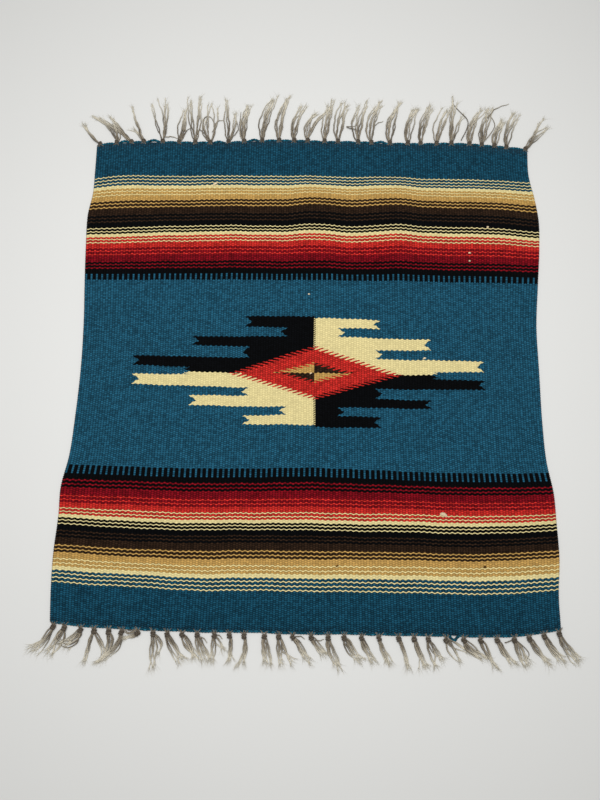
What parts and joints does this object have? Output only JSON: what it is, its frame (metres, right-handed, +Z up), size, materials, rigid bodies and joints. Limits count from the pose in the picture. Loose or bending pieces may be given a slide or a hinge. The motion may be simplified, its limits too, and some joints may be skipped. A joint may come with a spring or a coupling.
{
  "type": "chimayo rug",
  "caption": "Small flat-woven wool rug with striped borders, a stepped centre motif and knotted warp tassels along both ends.",
  "frame": {"origin": "on the floor under the middle of the cloth, on the flat underside", "axes": "+X across the cloth, +Y along its warp towards the end with the long tassels, +Z up from the floor"},
  "size_m": [0.558, 0.6502, 0.0073],
  "materials": {
    "wool_weave": "weft-faced plain weave of matt wool, striped in blue, cream, tan, brown, black and reds",
    "warp_yarn": "matt plied grey-brown warp yarn, knotted in tassels, frayed to a pale fibre at the tips"
  },
  "bodies": {
    "root": {"woven_cloth": "wool_weave", "long_fringe": "warp_yarn", "short_fringe": "warp_yarn"}
  },
  "joints": []
}
